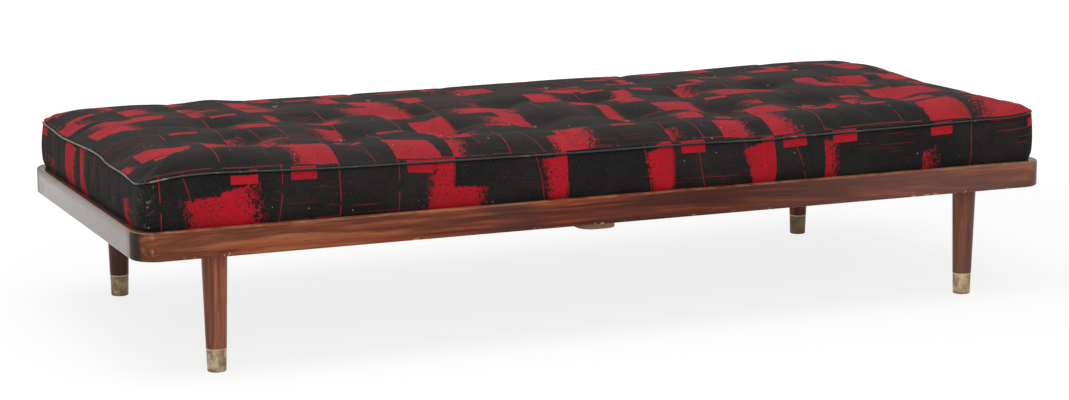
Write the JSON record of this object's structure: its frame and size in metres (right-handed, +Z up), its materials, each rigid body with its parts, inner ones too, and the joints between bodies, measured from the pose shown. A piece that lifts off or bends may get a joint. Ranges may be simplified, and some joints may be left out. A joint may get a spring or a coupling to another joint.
{
  "type": "backless divan",
  "caption": "Low backless divan: shallow wooden tray frame with rounded corners on tapered legs with brass ferrules, and a loose tufted mattress with welted seams.",
  "frame": {"origin": "on the floor, under the middle of the divan", "axes": "+X along the length, towards the end that is right in the front view; +Y from the front to the back; +Z up"},
  "size_m": [2, 0.85, 0.4252],
  "materials": {
    "wood_dark": "satin",
    "wood_inner": "matte",
    "wood_slat": "matte",
    "brass": "satin",
    "steel": "satin",
    "zinc_steel": "satin",
    "cover_cloth": "matte",
    "underside_cloth": "matte",
    "filling": "matte",
    "welt": "satin",
    "thread": "matte"
  },
  "bodies": {
    "frame": {"front_rail": "wood_dark", "back_rail": "wood_dark", "left_end_rail": "wood_dark", "right_end_rail": "wood_dark", "corner_front_left": "wood_dark", "corner_front_right": "wood_dark", "corner_back_left": "wood_dark", "corner_back_right": "wood_dark", "left_leg_board": "wood_inner", "right_leg_board": "wood_inner", "middle_brace": "wood_inner", "front_mid_ledger": "wood_inner", "front_left_ledger": "wood_inner", "front_right_ledger": "wood_inner", "back_mid_ledger": "wood_inner", "back_left_ledger": "wood_inner", "back_right_ledger": "wood_inner", "slat_01": "wood_slat", "slat_02": "wood_slat", "slat_03": "wood_slat", "slat_04": "wood_slat", "slat_05": "wood_slat", "slat_06": "wood_slat", "slat_07": "wood_slat", "slat_08": "wood_slat", "slat_09": "wood_slat", "slat_10": "wood_slat", "slat_11": "wood_slat", "left_end_slat": "wood_slat", "right_end_slat": "wood_slat", "leg_front_left": "wood_dark", "leg_front_right": "wood_dark", "leg_back_left": "wood_dark", "leg_back_right": "wood_dark", "ferrule_front_left": "brass", "ferrule_front_right": "brass", "ferrule_back_left": "brass", "ferrule_back_right": "brass", "leg_bolts": "steel", "leg_inserts": "zinc_steel", "slat_screws": "zinc_steel", "ledger_screws": "zinc_steel", "brace_screws": "zinc_steel"},
    "mattress": {"mattress_top": "cover_cloth", "mattress_border": "cover_cloth", "mattress_bottom": "underside_cloth", "mattress_core": "filling", "top_welt": "welt", "bottom_welt": "welt", "tuft_knots": "thread"}
  },
  "joints": [
    {"name": "mattress_lift", "type": "slide", "parent": "frame", "child": "mattress", "axis": [0, 0, 1], "range_m": [0, 0.25]}
  ]
}
